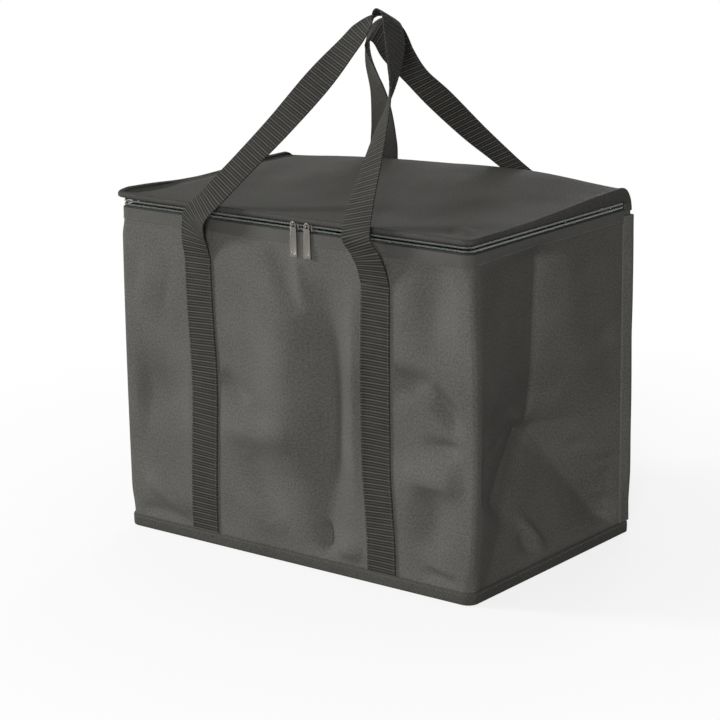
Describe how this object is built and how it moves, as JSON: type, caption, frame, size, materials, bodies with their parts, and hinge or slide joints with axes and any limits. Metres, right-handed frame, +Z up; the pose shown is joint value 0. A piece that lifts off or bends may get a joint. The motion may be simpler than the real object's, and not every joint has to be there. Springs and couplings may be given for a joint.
{
  "type": "insulated cooler bag",
  "caption": "Insulated box-shaped cooler bag with a zipped hinged lid, folding side gussets and webbing carry handles.",
  "frame": {"origin": "middle of the base, on the face that the bag stands on", "axes": "+Z up, -Y towards the front panel with the zip pulls, +X to the right along the front"},
  "size_m": [0.4434, 0.3233, 0.5495],
  "materials": {
    "wrap_fabric": "charcoal nonwoven with a fine embossed dot",
    "back_fabric": "charcoal nonwoven with a fine embossed dot",
    "base_fabric": "charcoal nonwoven with a fine embossed dot",
    "lid_fabric": "charcoal nonwoven with a fine embossed dot",
    "seam_binding": "charcoal binding tape, stitched",
    "sewn_webbing": "charcoal webbing with cross ribs",
    "handle_webbing": "charcoal webbing with cross ribs",
    "zip_tape": "dark woven zip tape",
    "zip_coil": "dark nylon coil",
    "slider_metal": "satin nickel plate",
    "pull_metal": "satin nickel plate",
    "foam": "white closed-cell foam",
    "foil_film": "creased silver film",
    "stiff_board": "grey pressed board"
  },
  "bodies": {
    "bag": {"wrap_panel": "wrap_fabric", "back_panel": "back_fabric", "base_panel": "base_fabric", "front_pad": "foam", "left_pad": "foam", "right_pad": "foam", "back_pad": "foam", "base_pad": "foam", "liner": "foil_film", "base_board": "stiff_board", "base_binding": "seam_binding", "back_left_binding": "seam_binding", "back_right_binding": "seam_binding", "body_zip_tape": "zip_tape", "body_zip_coil": "zip_coil", "front_left_strap": "sewn_webbing", "front_right_strap": "sewn_webbing", "back_left_strap": "sewn_webbing", "back_right_strap": "sewn_webbing"},
    "lid": {"lid_panel": "lid_fabric", "lid_pad": "foam", "lid_liner": "foil_film", "lid_rim": "seam_binding", "lid_zip_tape": "zip_tape", "lid_zip_coil": "zip_coil"},
    "front_handle": {"front_handle": "handle_webbing"},
    "back_handle": {"back_handle": "handle_webbing"},
    "left_slider": {"left_slider": "slider_metal"},
    "right_slider": {"right_slider": "slider_metal"},
    "left_pull": {"left_pull": "pull_metal"},
    "right_pull": {"right_pull": "pull_metal"}
  },
  "joints": [
    {"name": "lid_hinge", "type": "hinge", "parent": "bag", "child": "lid", "pos_m": [0, 0.1406, 0.34], "axis": [-1, 0, 0], "range_deg": [0, 100]},
    {"name": "front_handle_swing", "type": "hinge", "parent": "bag", "child": "front_handle", "pos_m": [0, -0.1422, 0.30215], "axis": [1, 0, 0], "range_deg": [0, 150]},
    {"name": "back_handle_swing", "type": "hinge", "parent": "bag", "child": "back_handle", "pos_m": [0, 0.1422, 0.30215], "axis": [-1, 0, 0], "range_deg": [0, 150]},
    {"name": "left_slider_slide", "type": "slide", "parent": "bag", "child": "left_slider", "axis": [-1, 0, 0], "range_m": [0, 0.184]},
    {"name": "right_slider_slide", "type": "slide", "parent": "bag", "child": "right_slider", "axis": [1, 0, 0], "range_m": [0, 0.167]},
    {"name": "left_pull_swing", "type": "hinge", "parent": "left_slider", "child": "left_pull", "pos_m": [0.0115, -0.142, 0.3492], "axis": [-1, 0, 0], "range_deg": [0, 160]},
    {"name": "right_pull_swing", "type": "hinge", "parent": "right_slider", "child": "right_pull", "pos_m": [0.0285, -0.142, 0.3492], "axis": [-1, 0, 0], "range_deg": [0, 160]}
  ],
  "couplings": [
    {"joint": "front_handle_swing", "follows": "lid_hinge", "ratio": 1.5},
    {"joint": "back_handle_swing", "follows": "lid_hinge", "ratio": 1.5}
  ]
}
